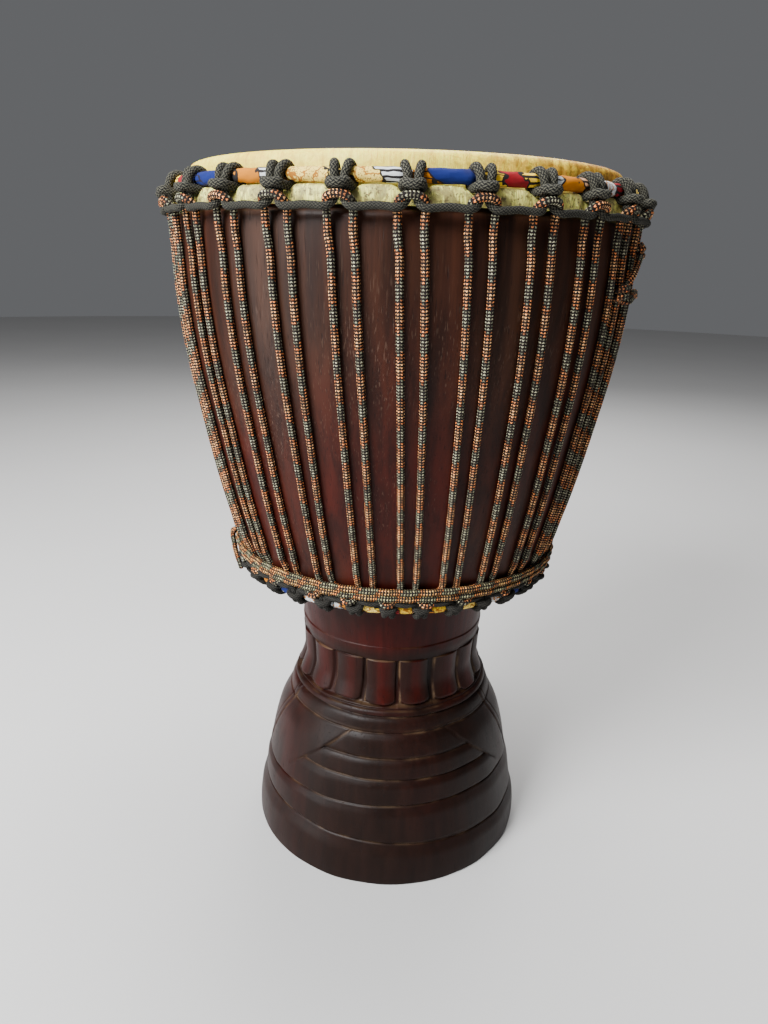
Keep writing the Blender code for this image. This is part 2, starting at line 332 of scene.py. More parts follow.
class Look:
    """A material made of nodes."""

    def __init__(self, name, roughness):
        self.material = bpy.data.materials.new(name)
        self.material.use_nodes = True
        self.tree = self.material.node_tree
        self.shader = self.tree.nodes["Principled BSDF"]
        self.shader.inputs["Roughness"].default_value = roughness

    def node(self, kind, **settings):
        made = self.tree.nodes.new("ShaderNode" + kind)
        for key, value in settings.items():
            setattr(made, key, value)
        return made

    def feed(self, socket, value):
        if isinstance(value, Value):
            self.tree.links.new(value.socket, socket)
        elif value is not None:
            socket.default_value = value

    def math(self, operation, a, b=None, clamp=False):
        made = self.node("Math", operation=operation, use_clamp=clamp)
        self.feed(made.inputs[0], a)
        self.feed(made.inputs[1], b)
        return Value(self, made.outputs[0])

    def step(self, value, low, high):
        """0 below low, 1 above high, smooth between."""
        made = self.node("MapRange", interpolation_type="SMOOTHSTEP")
        self.feed(made.inputs[0], value)
        made.inputs[1].default_value = low
        made.inputs[2].default_value = high
        return Value(self, made.outputs[0])

    def mix(self, factor, a, b):
        made = self.node("Mix", data_type="RGBA")
        self.feed(made.inputs[0], factor)
        for socket, value in ((made.inputs[6], a), (made.inputs[7], b)):
            self.feed(socket, (*value, 1.0) if isinstance(value, tuple) else value)
        return Value(self, made.outputs[2])

    def ramp(self, factor, stops, interpolation="LINEAR"):
        made = self.node("ValToRGB")
        made.color_ramp.interpolation = interpolation
        points = made.color_ramp.elements
        while len(points) < len(stops):
            points.new(0.5)
        for point, (position, colour) in zip(points, stops):
            point.position = position
            point.color = (*colour, 1.0)
        self.feed(made.inputs[0], factor)
        return Value(self, made.outputs[0])

    def coordinates(self, kind="Object"):
        return Value(self, self.node("TexCoord").outputs[kind])

    def scaled(self, scale, vector):
        made = self.node("VectorMath", operation="MULTIPLY")
        self.feed(made.inputs[0], vector)
        made.inputs[1].default_value = scale
        return Value(self, made.outputs[0])

    def split(self, value, kind="SeparateXYZ"):
        made = self.node(kind)
        self.feed(made.inputs[0], value)
        return [Value(self, socket) for socket in made.outputs]

    def texture(self, kind, vector, output, settings, **inputs):
        made = self.node("Tex" + kind, **settings)
        self.feed(made.inputs["Vector"], vector)
        for key, value in inputs.items():
            made.inputs[key].default_value = value
        return Value(self, made.outputs[output])

    def noise(self, scale, detail=3.0, roughness=0.5, distortion=0.0, over=None):
        """Noise over object coordinates or another vector. A tuple scales each axis on its own."""
        vector = over or self.coordinates()
        if isinstance(scale, tuple):
            vector, scale = self.scaled(scale, vector), 1.0
        return self.texture("Noise", vector, "Fac", {}, Scale=scale, Detail=detail, Roughness=roughness,
                            Distortion=distortion)

    def attribute(self, name):
        return Value(self, self.node("Attribute", attribute_name=name).outputs["Fac"])

    def uv(self):
        """The two coordinates of the wrap layer, and the pair as a vector."""
        layer = Value(self, self.node("UVMap", uv_map="wrap").outputs[0])
        u, v, _ = self.split(layer)
        return u, v, layer

    def bump(self, height, distance, strength=1.0, normal=None):
        made = self.node("Bump")
        made.inputs["Strength"].default_value = strength
        made.inputs["Distance"].default_value = distance
        self.feed(made.inputs["Height"], height)
        self.feed(made.inputs["Normal"], normal)
        return Value(self, made.outputs[0])

    def finish(self, colour, roughness, normal, **plain):
        self.feed(self.shader.inputs["Base Color"], colour)
        self.feed(self.shader.inputs["Roughness"], roughness)
        self.feed(self.shader.inputs["Normal"], normal)
        for key, value in plain.items():
            self.shader.inputs[key.replace("_", " ")].default_value = value
        return self.material


def patterned_rope_look(name, orange, orange_tip, pale, pale_tip):
    """Black braid with orange and pale stitches that take turns along the rope, some of them darkened at
    random as painted shade in place of uneven light on the yarns.
    """
    look = Look(name, 0.85)
    u, v, _ = look.uv()
    column = u.floor()
    across = u.fract() - 0.5
    arm = abs(across)
    slant = v - arm * STITCH_SLANT
    fleck = (slant * TURN).cos() * 0.8 + (across * TURN).cos() * 0.5
    mask = look.step(fleck - look.step(arm, 0.07, 0) * 0.5, 0.30, 0.64)
    turn = v / STITCH_REPEAT + (column * 2.1).sin() * 0.06
    part = (turn + (look.noise(160, 1) - 0.5) * 0.22).fract()
    orange_stops = [(0, orange), (0.28, orange_tip), (0.55, orange)]
    bands = look.ramp(part, orange_stops + [(0.59, pale), (0.78, pale_tip), (0.97, pale)])
    bands = look.mix(look.step(part, 0.97, 1), bands, orange)
    fuzz = look.noise(900, 2)
    dirt = look.noise(35)
    ground = look.mix(fuzz, (0.003, 0.002, 0.002), (0.012, 0.008, 0.007))
    flecks = look.mix(look.step(fuzz, 0.30, 0.70), look.mix(0.18, bands, (0.05, 0.03, 0.02)), bands)
    flecks = look.mix(look.step(dirt, 0.5, 0.8) * 0.4, flecks, (0.03, 0.02, 0.015))
    stitch = look.node("CombineXYZ")
    look.feed(stitch.inputs[0], column)
    look.feed(stitch.inputs[1], (slant + 0.5).floor())
    chance = look.texture("WhiteNoise", Value(look, stitch.outputs[0]), "Value", {"noise_dimensions": "2D"})
    # Painted shade: a random share of the stitches darkened, standing in for the yarns' uneven highlights
    # and shade
    flecks = look.mix(look.step(chance, 0.70, 0.10) * 0.72, flecks, (0.03, 0.02, 0.015))
    normal = look.bump(mask + fuzz * 0.5, 0.14 * MM, 0.8)
    return look.finish(look.mix(mask, ground, flecks), None, normal, Specular_IOR_Level=0.2)


def black_rope_look(name, crest_colour):
    """Charcoal braid, paler where the yarns stand up (partly dust, partly painted highlight), near black as
    painted shade in the hollows between the yarns, and darker where the rope is drawn straight.
    """
    look = Look(name, 0.88)
    u, v, _ = look.uv()
    a, b = u + v, u - v
    parity = abs((a.floor() + b.floor()) % 2).above(0.5)
    crest_a = (a.fract() * math.pi).sin()
    crest_b = (b.fract() * math.pi).sin()
    crest = crest_a + parity * (crest_b - crest_a)
    fuzz = look.noise(1100, 2)
    dust = look.noise(45)
    taut_colour = tuple(0.66 * part for part in crest_colour)
    yarn = look.mix(look.step(look.attribute("thick"), 2.3, 2.6), taut_colour, crest_colour)
    # Painted shade: near black in the hollows between the yarns; the paler crests are partly painted
    # highlight
    colour = look.mix(look.step(crest, 0.60, 0.96), (0.0015, 0.0015, 0.0015), yarn)
    colour = look.mix(look.step(dust, 0.5, 0.8) * 0.25, colour, (0.030, 0.029, 0.026))
    colour = look.mix(fuzz * 0.35, colour, (0.012, 0.011, 0.011))
    return look.finish(colour, None, look.bump(crest + fuzz * 0.4, 0.25 * MM), Specular_IOR_Level=0.2)


def wood_look(name, gloss_from, shine, dusty, dark, red):
    """Dark stained hardwood: upright grain, red that is partly thin staining and partly painted reflection
    of red surroundings, and pale carved edges that are partly wear and partly painted highlight.

    Dark and red are each a pair of colours, for the darkest and the palest grain."""
    look = Look(name, gloss_from)
    grain = look.noise((110, 110, 4), 5, 0.62, 0.3)
    pore = look.step(look.noise((900, 900, 30), 2, 0.6), 0.60, 0.72)
    cloud = look.noise((9, 9, 5), 3, 0.55)
    amount = look.math("MULTIPLY", look.attribute("red"), look.step(cloud, 0.20, 0.60), clamp=True)
    # Red: partly thin stain, partly painted reflection of red surroundings on the staves and the foot's
    # right side
    red_stain_and_reflection = look.mix(look.step(grain, 0.30, 0.70), *red)
    colour = look.mix(amount, look.mix(look.step(grain, 0.30, 0.72), *dark), red_stain_and_reflection)
    colour = look.mix(pore * 0.55, colour, (0.003, 0.002, 0.002))
    fibre = look.step(look.noise((1300, 1300, 55), 1), 0.63, 0.72)
    patch = look.step(look.noise((14, 14, 9)), 0.42, 0.65)
    colour = look.mix(fibre * patch * dusty, colour, (0.12, 0.075, 0.052))
    # Pale edges: wear on the carved lines, and painted highlight on the staves' left edges and top ledges
    edge = look.attribute("pale_edge") * look.step(look.noise(60, 4), 0.38, 0.66)
    colour = look.mix(edge * 0.7, colour, (0.11, 0.066, 0.034))
    roughness = look.noise((24, 24, 14), 4, 0.6) * 0.24 + pore * 0.15 + (gloss_from - 0.06)
    normal = look.bump(grain * 0.7 - pore * 0.6, 0.22 * MM, 0.6)
    normal = look.bump(look.noise((130, 130, 45), 3, 0.55), 0.35 * MM, 0.30, normal)
    return look.finish(colour, roughness, normal, Specular_IOR_Level=shine)


def skin_look():
    """Shaved goat skin: cream with fibres that run outwards and down, hair specks and tan clouds."""
    look = Look("goat_skin", 0.62)
    tan = look.attribute("tan")
    _, _, layer = look.uv()
    fibre = look.noise((420, 34, 1), 3, 0.6, 0.4, layer)
    fine = look.noise((1500, 160, 1), 2, over=layer)
    cloud = look.noise(22, 4, 0.6, 0.6)
    blotch = look.noise(75, 4, 0.65, 0.8)
    crumple = look.noise(260, 4, 0.65, 1.2)
    specks = look.noise(420, 3, 0.7)
    brown = look.math("MULTIPLY", look.step(blotch, 0.44, 0.58), tan, clamp=True)
    crumpled = look.math("MULTIPLY", look.step(crumple, 0.47, 0.57), tan, clamp=True)
    colour = look.mix(look.step(cloud, 0.3, 0.7), (1, 0.93, 0.14), (0.96, 0.76, 0.065))
    colour = look.mix(look.step(fibre, 0.45, 0.75) * 0.7, colour, (0.66, 0.42, 0.07))
    colour = look.mix(tan * 0.75, colour, (0.84, 0.45, 0.018))
    colour = look.mix(brown * 0.85, colour, (0.36, 0.155, 0.016))
    colour = look.mix(crumpled * 0.85, colour, (0.33, 0.135, 0.008))
    roll = look.mix(look.step(fine, 0.35, 0.7), (0.54, 0.50, 0.11), (1, 0.97, 0.27))
    roll = look.mix(look.step(blotch, 0.45, 0.58) * 0.85, roll, (0.27, 0.23, 0.085))
    roll = look.mix(look.step(specks, 0.52, 0.64) * 0.9, roll, (0.12, 0.085, 0.035))
    colour = look.mix(look.attribute("hair"), colour, roll)
    height = fibre * 0.6 + fine * 0.5 + blotch * 0.8 + crumple * tan * 0.9
    return look.finish(colour, blotch * 0.3 + 0.42, look.bump(height, 0.7 * MM, 0.6),
                       Subsurface_Weight=0.12, Subsurface_Scale=0.003, Specular_IOR_Level=0.4)


COLOURS = {
    "C": (0.86, 0.62, 0.13),  # cream
    "O": (0.46, 0.15, 0.001),  # ochre
    "B": (0.006, 0.014, 0.11),  # blue
    "W": (0.58, 0.6, 0.6),  # white
    "Y": (0.88, 0.55, 0.03),  # yellow
    "R": (0.24, 0.005, 0.01),  # red
    "P": (0.66, 0.36, 0.2),  # peach
    "K": (0.012, 0.01, 0.01),  # black
}
BLACK = COLOURS["K"]


def read_prints(text):
    """The print of each gap: its ground, motif and trim colours, then the share of the gap where the
    motif ends and where the trim starts, in hundredths."""
    rows = [gap.split() for gap in text.split(", ")]
    return [(*map(COLOURS.get, keys), int(end) / 100, int(start) / 100) for keys, end, start in rows]


PRINTS = read_prints(
    "BOB 27 95, RYY 30 66, OWP 30 72, WKR 32 66, COK 25 80, BWB 20 80, CRY 35 70, OYW 30 75, WBK 25 80, "
    "RYO 35 75, COC 20 85, YBW 30 70, WOK 30 70, PRC 25 75, BYB 22 90, OCK 30 70, CKW 20 70, RWO 30 70, "
    "YOR 35 75, BCB 20 85, WRC 30 75, OBW 30 70, RYW 40 80, BBW 30 88, OKW 22 68, COC 12 80, COW 10 52"
)
LOWER_PRINTS = read_prints(
    "YRP 30 70, YOY 30 75, COC 20 80, WKW 15 85, BOW 25 80, RYC 30 75, OWY 25 75, BWB 20 85, WKW 20 85, "
    "WWO 30 55, COY 20 70"
)
GAP_LENGTH = 41.0  # mm between two crown knots
LOWER_GAP_LENGTH = 24.6
WRAP_LENGTH = 4.3  # mm around the cloth for each radian
THREAD_PITCH = 0.55  # mm


def print_look(name, prints, gap_length):
    """Printed cotton: a ground with motifs in black outlines, dotted where it is pale."""
    look = Look(name, 0.85)
    u, v, layer = look.uv()
    plane = look.scaled((gap_length, WRAP_LENGTH, 1), layer)
    warp = look.noise(0.16, 1, over=plane) - 0.5
    place = u.fract() + (v * 0.07 + warp * 0.45)
    index = ((u.floor() - 0.5) / len(prints)).fract()

    def table(colours):
        return look.ramp(index, [(i / len(prints), colour) for i, colour in enumerate(colours)], "CONSTANT")

    ground, motif, trim = (table([row[column] for row in prints]) for column in range(3))
    motif_end, trim_start, _ = look.split(table([(*row[3:], 0) for row in prints]), "SeparateColor")
    from_motif = place - motif_end
    from_trim = place - trim_start
    pale = look.step(look.split(ground, "SeparateColor")[0], 0.45, 0.55)
    dots = look.texture("Voronoi", plane, "Distance", {}, Scale=0.95)
    ground = look.mix(look.step(dots, 0.42, 0.28) * pale * 0.8, ground, (0.15, 0.055, 0.012))
    strokes = abs(look.noise(0.13, 2, over=plane) - 0.5)
    ground = look.mix(look.step(strokes, 0.042, 0.018) * pale, ground, (0.36, 0.13, 0.010))
    rings = look.texture("Wave", plane, "Fac", {"wave_type": "RINGS"}, Scale=0.085, Distortion=3)
    motif = look.mix(look.step(rings, 0.86, 0.92), motif, BLACK)
    trim = look.mix(look.step(rings, 0.55, 0.62), trim, BLACK)
    colour = look.mix(look.step(from_motif, 0, -0.008), ground, motif)
    colour = look.mix(look.step(from_trim, 0, 0.008), colour, trim)
    outline = abs(from_motif).least(abs(from_trim))
    colour = look.mix(look.step(outline, 0.030, 0.020), colour, BLACK)
    warp_threads = (u * (TURN * gap_length / THREAD_PITCH)).sin()
    threads = warp_threads * (v * (TURN * WRAP_LENGTH / THREAD_PITCH)).sin()
    shade = look.step(look.noise(60, 4), 0.45, 0.8)
    colour = look.mix(shade * 0.35, colour, (0.03, 0.022, 0.018))
    normal = look.bump(threads, 0.05 * MM, 0.5, look.bump(look.noise(260, 2), 0.5 * MM, 0.4))
    return look.finish(colour, None, normal, Specular_IOR_Level=0.2)


def steel_look():
    look = Look("ring_steel", 0.4)
    streak = look.noise(300)
    colour = look.mix(streak, (0.32, 0.31, 0.30), (0.50, 0.49, 0.47))
    return look.finish(colour, streak * 0.3 + 0.25, look.bump(streak, 0.05 * MM, 0.4), Metallic=1)


patterned = patterned_rope_look(
    "patterned_rope", (1, 0.28, 0.065), (1, 0.55, 0.23), (0.22, 0.24, 0.155), (0.55, 0.52, 0.34)
)
belt_braid = patterned_rope_look(
    "belt_rope", (1, 0.30, 0.055), (1, 0.60, 0.20), (0.23, 0.26, 0.14), (0.62, 0.57, 0.30)
)
black = black_rope_look("black_rope", (0.090, 0.086, 0.063))
# A darker copy of the black rope, as painted shade: the lower cradle rope sits in the shade of the bowl and
# the belt
shaded_lower_black = black_rope_look("lower_black_rope_painted_shade", (0.056, 0.052, 0.041))
bowl_wood = wood_look(
    "bowl_wood", 0.41, 0.14, 0.36,
    dark=((0.0125, 0.0054, 0.0030), (0.0350, 0.0138, 0.0068)),
    red=((0.0150, 0.0018, 0.0007), (0.0390, 0.0040, 0.0016)),
)
foot_wood = wood_look(
    "foot_wood", 0.36, 0.11, 0,
    dark=((0.0066, 0.0027, 0.0018), (0.0118, 0.0047, 0.0031)),
    red=((0.0190, 0.0015, 0.0009), (0.0400, 0.0031, 0.0017)),
)


# ---- the free rope end

# The loose end's route, as (azimuth, radius, height)
TAIL = [(-81.7, 0.1406, 0.2857), (-83.2, 0.1425, 0.2860), (-84.8, 0.1447, 0.2835)]
TAIL += [(-85.2, 0.1452, 0.2785), (-85.2, 0.1445, 0.2730), (-85.0, 0.1437, 0.2670)]
TAIL += [(-84.6, 0.1420, 0.2600), (-84.3, 0.1398, 0.2530), (-84.0, 0.1382, 0.2470)]
tail_points = [around(radius, azimuth, z) for azimuth, radius, z in TAIL]
tail_pieces, tail_path, tail_length = rope(
    "belt_rope_tail_braid", "belt_rope_tail", tail_points, ROPE_R, patterned, ends=(False, True)
)


# ---- shell

# Outer side of the bowl from the bearing edge down to the neck, as (height, radius) in mm
BOWL = [
    (578.8, 159), (577.8, 162.3), (575, 163.9), (571, 164.2), (562, 164.2), (556, 165),
    (550, 166.8), (547.6, 169.6), (546.6, 172.8), (545, 174.9), (540, 176), (530, 176.5),
    (520, 176.6), (505, 176), (490, 175),
    (470, 173), (450, 170.4), (425, 166.2), (400, 161.2), (375, 156.1), (350, 150.8),
    (330, 145.9), (310, 140.6), (298, 137.3), (290, 135.6), (285, 134.5), (281, 132.3),
    (277, 127), (273, 120.5), (267, 111), (262, 102.5), (258, 95.5), (254, 90.4),
]
NECK = [
    (254, 90.4), (250, 88.2), (243, 86), (235, 84.8), (222, 83.2), (208, 81.9), (205, 81.7),
    (196, 80.9), (190, 80.3), (180, 79.7), (170, 80), (160, 83), (150, 87.1), (146, 88.9),
]
FOOT = [
    (146, 88.9), (140, 91.6), (130, 96), (120, 100.2), (110, 103.9), (100, 107), (90, 109.7),
    (80, 112), (70, 114.2), (60, 116.3), (50, 118.4), (40, 120.4), (30, 122.4), (20, 124.2),
    (10, 125.6), (2, 126.3), (0.6, 125.9), (0, 124.8),
]
BORE = [
    (0, 108), (12, 105.6), (50, 97), (110, 75), (165, 53), (210, 45), (250, 53),
    (286, 90), (330, 125), (400, 146), (470, 158), (520, 162), (545, 159.5),
    (560, 153.2), (575, 153.6), (578.8, 157), (578.9, 159),
]


def curve_through(pairs):
    """A smooth radius for each height, in metres, through (height mm, radius mm) pairs."""
    x, y = np.array(sorted(pairs)).T * MM
    slopes = tangents(np.diff(x), np.diff(y) / np.diff(x))

    def radius(z):
        z = np.clip(z, x[0], x[-1])
        k = np.clip(np.searchsorted(x, z, side="right") - 1, 0, len(x) - 2)
        span = x[k + 1] - x[k]
        return cubic((z - x[k]) / span, span, y[k], y[k + 1], slopes[k], slopes[k + 1])

    return radius


bowl_radius = curve_through(BOWL[4:])
neck_radius = curve_through(NECK)
foot_radius = curve_through(FOOT[:-2])


def dense_rows(marks, coarse, fine, reach):
    """Heights from the first mark down to the last, closer together near the marks between."""
    top, bottom = marks[0], marks[-1]
    z = top
    rows = [top]
    while z > bottom:
        near = min((abs(z - m) for m in marks[1:-1]), default=1.0)
        z -= fine if near < reach else coarse
        rows.append(max(z, bottom))
    return np.array(rows)


OUTSIDE = np.arange(720) / 2.0  # azimuths of the shell's outer grids
BORE_AZIMUTHS = np.arange(240) * 1.5
BORE_TOP = 0.575
RIM = 0.5788
DEGREE = math.radians(1.0)


def columns(values, count):
    """The same column of values, count times over."""
    return np.repeat(np.array(values, float)[:, None], count, axis=1)


def add_wood(name, look, r, az, z, red, pale_edge):
    """A piece of the shell from a grid whose rows run down its outside or down its bore's wall."""
    piece = mesh_object(name, around(r, az, z)[::-1], look, (np.append(az[0], 360.0), z[::-1, 0]),
                        attributes=(("red", red[::-1]), ("pale_edge", pale_edge[::-1])))
    install(piece, "shell")


def make_bowl():
    """The bowl, with the faint upright facets that the adze left."""
    rim = np.array(BOWL[:3]) * MM
    rows = dense_rows([BOWL[3][0] * MM, BOWL[-1][0] * MM], 3.0 * MM, 3.0 * MM, 0.0)
    z, az = np.meshgrid(np.append(rim[:, 0], rows), OUTSIDE, indexing="ij")
    calm = smoothstep(0.300, 0.330, z) * smoothstep(0.560, 0.535, z)
    facets = np.abs(np.sin(np.radians(az) * 22.5 + 1.2 * waves(az, 3, 4) + 7.0 * z))
    facets = facets + 0.6 * np.sin(26 * z * 6.28 / 1.7 + 3 * waves(az, 5, 5, 3, 16))
    r = columns(np.append(rim[:, 1], bowl_radius(rows)), len(OUTSIDE))
    r = r + 0.08 * MM * calm * (facets - 0.6) + 0.15 * MM * calm * waves(az + 40 * z, 9, 4, 2, 7)
    red = 0.15 + 0.75 * smoothstep(0.50, 0.33, z) + 0.25 * (0.5 + 0.5 * waves(az, 12, 4, 3, 20))
    add_wood("shell_bowl", bowl_wood, r, az, z, red, np.zeros_like(z))


def make_bore():
    """The bore from the bearing edge down to the foot, with its tool marks."""
    inner = np.linspace(0.0, BORE_TOP, 150)
    radii = np.append(curve_through(BORE[:-1])(inner), [0.1570, 0.1590])[::-1]
    z, az = np.meshgrid(np.append(inner, [RIM, RIM])[::-1], BORE_AZIMUTHS, indexing="ij")
    chisel = np.abs(np.sin(np.radians(az) * 15 + 2 * waves(az, 21, 4)))
    chisel = chisel * np.abs(np.sin(z * 130 + waves(az, 22, 5, 3, 20)))
    r = columns(radii, len(BORE_AZIMUTHS))
    r = r + 0.9 * MM * chisel * smoothstep(0.005, 0.03, z) * smoothstep(0.57, 0.54, z)
    add_wood("shell_bore", bowl_wood, r, az, z, np.full_like(z, 0.4), np.full_like(z, 0.15))


STAVES = 17
STAVE_FIRST = -6.6  # azimuth of the middle of one stave
STAVE_HALF = 9.35  # degrees
STAVE_TOP = 0.1942
STAVE_FOOT = 0.1528
NECK_LINE = 0.1504  # the line between the staves and the bead under them
NECK_STEP = 0.2070
NECK_TOP = 0.254
FOOT_TOP = 0.146
LINES = [0.1446, 0.1318, 0.1115, 0.0940, 0.0680, 0.0360]  # usual heights of the foot's carved lines
PANEL_FOOT = 0.0800


def ridge(distance, width):
    """1 on a line, falling off smoothly to both sides."""
    return np.exp(-((distance / width) ** 2))


def make_neck():
    """The plain collar, a low step, the band of rounded staves and the bead under it."""
    marks = [NECK_TOP, NECK_STEP, STAVE_TOP, STAVE_FOOT, NECK_LINE, FOOT_TOP]
    rows = dense_rows(marks, 1.5 * MM, 0.38 * MM, 2.4 * MM)
    z, az = np.meshgrid(rows, OUTSIDE, indexing="ij")
    zz = z + 0.30 * MM * waves(az, 31, 5, 2, 12)
    step = 360 / STAVES
    number = np.round((az - STAVE_FIRST) / step)
    ring = number % STAVES
    lean_stave = 0.5 * np.sin(ring * 1.9) * (zz - 0.175) / 0.02
    t = (az - STAVE_FIRST - number * step + 0.6 * np.sin(ring * 2.3) + lean_stave) / STAVE_HALF
    top = STAVE_TOP + 0.0007 * np.sin(ring * 2.9)
    foot = STAVE_FOOT + 0.0006 * np.sin(ring * 1.7)
    corner = np.clip((np.abs(t) - 0.50) / 0.50, 0, 1) ** 2.2
    on = smoothstep(1.03, 0.95, np.abs(t)) * smoothstep(top + 0.0004, top - 0.0004, zz + 0.0002 * corner)
    on = on * smoothstep(foot + 0.0032 * corner, foot + 0.0016 + 0.0034 * corner, zz)
    r = neck_radius(z) - 0.5 * MM * smoothstep(0.202, 0.1955, zz)
    r = r + 0.8 * MM * smoothstep(0.2079, 0.2066, zz)
    recess = smoothstep(top + 0.0006, top - 0.0002, zz) * smoothstep(foot - 0.0012, foot + 0.0006, zz)
    r = r - 3.0 * MM * recess
    pillow = 4.6 - 2.3 * np.abs(t) ** 2.2 - 0.5 * smoothstep(0.180, 0.166, zz) * (1 - t * t)
    r = r + MM * on * pillow - 0.9 * MM * ridge(zz - NECK_LINE, 0.0007)
    bead = np.clip((NECK_LINE - zz) / (NECK_LINE - LINES[0]), 0, 1)
    r = r + 1.1 * MM * np.sin(np.pi * bead) ** 0.6 * (zz < NECK_LINE)
    r = r + 0.12 * MM * waves(az + 200 * z, 33, 6, 3, 24)
    # Painted highlight: the staves' left edges and top ledges, where light from the left catches them; the
    # lines at the staves' feet, the bead and the step are wear
    left = ridge(t + 0.97, 0.05) * smoothstep(foot, foot + 0.003, zz) * (zz < top)
    ledge = ridge(zz - top + 0.0002, 0.0005) * (np.abs(t) < 0.96)
    low = 0.5 * ridge(zz - foot, 0.0010) + 0.35 * ridge(zz - NECK_LINE + 0.0008, 0.0005)
    pale_edge = np.clip(1.1 * left + 0.9 * ledge + low + 0.25 * ridge(zz - NECK_STEP - 0.0002, 0.0006), 0, 1)
    # Painted reflection: red down the middle of each stave stands for red surroundings reflected there; the
    # rest is stain
    red = 0.9 * on * ridge(t - 0.15, 0.45) + 0.25 + 0.20 * waves(az, 37, 4, 2, 9)
    red = red + 1.2 * smoothstep(0.196, 0.212, zz)
    add_wood("shell_neck", foot_wood, r, az, z, np.clip(red, 0, 1.4), pale_edge)


def carved_lines(az):
    """Heights of the foot's carved lines at an azimuth, top to bottom."""
    c, s = np.cos(np.radians(az)), np.sin(np.radians(az))
    small = 0.35 * MM * waves(az, 41, 5, 2, 10)
    return [
        LINES[0] + small,
        LINES[1] + small,
        LINES[2] + 0.5 * small,
        LINES[3] + 0.5 * small,
        0.0655 + MM * (6.0 * c + 2.5 * s) + small,
        0.0357 + MM * (2.8 * c - 5.3 * s) + small,
    ]


def tier(t, jut):
    """Section of one carved tier: t is 0 at the line above it and 1 at the line below."""
    return jut * (smoothstep(-0.02, 0.30, t) * (1.0 - 0.75 * np.clip(t, 0, 1) ** 1.7) - 0.45)


def make_foot():
    """The stepped foot: tiers between carved lines, a terraced panel front and back, and ribs."""
    even = dense_rows([FOOT_TOP] + LINES + [0.0006], 1.7 * MM, 0.42 * MM, 2.2 * MM)
    line = carved_lines(OUTSIDE)
    knots = [0.0] + LINES[::-1] + [FOOT_TOP]
    moves = [0 * OUTSIDE] + [line[k] - LINES[k] for k in range(len(LINES))][::-1] + [0 * OUTSIDE]
    z = np.stack([even + np.interp(even, knots, move) for move in np.transpose(moves)], axis=1)
    az = np.tile(OUTSIDE, (len(even), 1))
    face = (az + 180) % 360 - 180
    local = np.where(np.abs(face) > 90, (face % 360) - 180, face)
    left = -21.6 - 640 * (0.130 - z)
    right = 31.5 + 618 * (0.130 - z)
    inside = smoothstep(-0.5, 0.5, local - left) * smoothstep(-0.5, 0.5, right - local)
    inside = inside * smoothstep(line[1] + 0.0005, line[1] - 0.0005, z)

    def between(high, low, jut):
        return tier((high - z) / (high - low), jut * MM)

    bead = 0.75 * MM * np.clip((z - line[0]) / 0.0012, 0, 1) ** 0.5
    panel = np.select(
        [z > line[2], z > line[3]],
        [between(line[1], line[2], 1.5), between(line[2], line[3], 1.7)],
        between(line[3], line[4], 1.9),
    )
    middle = inside * panel + (1 - inside) * (between(line[1], line[4], 2.2) + 0.5 * MM)
    jut = np.select(
        [z > line[0], z > line[1], z > line[4], z > line[5]],
        [bead, between(line[0], line[1], 1.5), middle, between(line[4], line[5], 2.3)],
        between(line[5], -0.004, 2.6),
    )
    r = foot_radius(z) + jut
    cut = np.zeros_like(z)
    for k, value in enumerate(line):
        width, deep = (0.8, 0.9) if k < 2 else (0.9, 1.1)
        near = ridge(z - value, width * MM) * (inside if k in (2, 3) else 1.0)
        r = r - deep * MM * near
        cut = np.maximum(cut, near)
    for value in line[:2]:
        near = ridge(z - value - 2.3 * MM, 0.5 * MM)
        r = r - 0.4 * MM * near
        cut = np.maximum(cut, 0.5 * near)
    reach = smoothstep(PANEL_FOOT - 0.001, PANEL_FOOT + 0.002, z)
    reach = reach * smoothstep(line[1] + 0.0004, line[1] - 0.0008, z)
    for edge in (left, right):
        near = ridge((local - edge) * DEGREE * r / MM, 1.0) * reach
        r = r - 0.9 * MM * near
        cut = np.maximum(cut, near)
    reach = smoothstep(line[4] - 0.0005, line[4] + 0.002, z)
    reach = reach * smoothstep(line[0] + 0.0005, line[0] - 0.001, z)
    for rib in (-66 - 290 * (0.140 - z), 65 + 270 * (0.140 - z)):
        away = np.minimum(np.abs(local - rib - 2.0), np.abs(local - rib + 2.0)) * DEGREE * r / MM
        near = ridge(away, 0.9) * reach
        r = r - 1.0 * MM * near + 0.4 * MM * reach * smoothstep(2.0, 1.6, np.abs(local - rib))
        cut = np.maximum(cut, near)
    r = r + 0.18 * MM * waves(az + 120 * z, 43, 6, 3, 20)
    broken = 0.5 + 0.5 * waves(az + 300 * z, 47, 6, 5, 40)
    pale_edge = np.clip(cut * (0.15 + 0.75 * broken), 0, 1)
    # Painted reflection: redder towards the right (azimuths 25 to 75), standing for red surroundings
    # reflected there; the waves are stain
    red = np.clip(0.10 + 0.45 * waves(az + 90 * z, 49, 5, 1, 5) + 0.55 * smoothstep(25, 75, face), 0, 1.2)
    red = red * (0.35 + 0.65 * smoothstep(0.03, 0.07, z))
    base = [0.1248, 0.1235, 0.1085]  # radii of the rows across the underside

    def extended(grid, values):
        return np.vstack([grid, columns(values, grid.shape[1])])

    add_wood("shell_foot", foot_wood, extended(r, base), np.vstack([az, az[:3]]),
             np.maximum(extended(z, [0.0] * 3), 0.0), extended(red, [0.1] * 3), extended(pale_edge, [0.3] * 3))


make_bowl()
make_bore()
make_neck()
make_foot()


# ---- skin

EDGE_R = 0.1590  # of the flat part of the membrane
ROLL_R = 0.178
COLLAR_R = 0.1664  # the roll is never inside this


def from_knot(azimuth, first, step, radius):
    """Distance along the ring from the nearest knot, in metres."""
    off = (azimuth - first + step / 2) % step - step / 2
    return np.abs(np.radians(off)) * radius


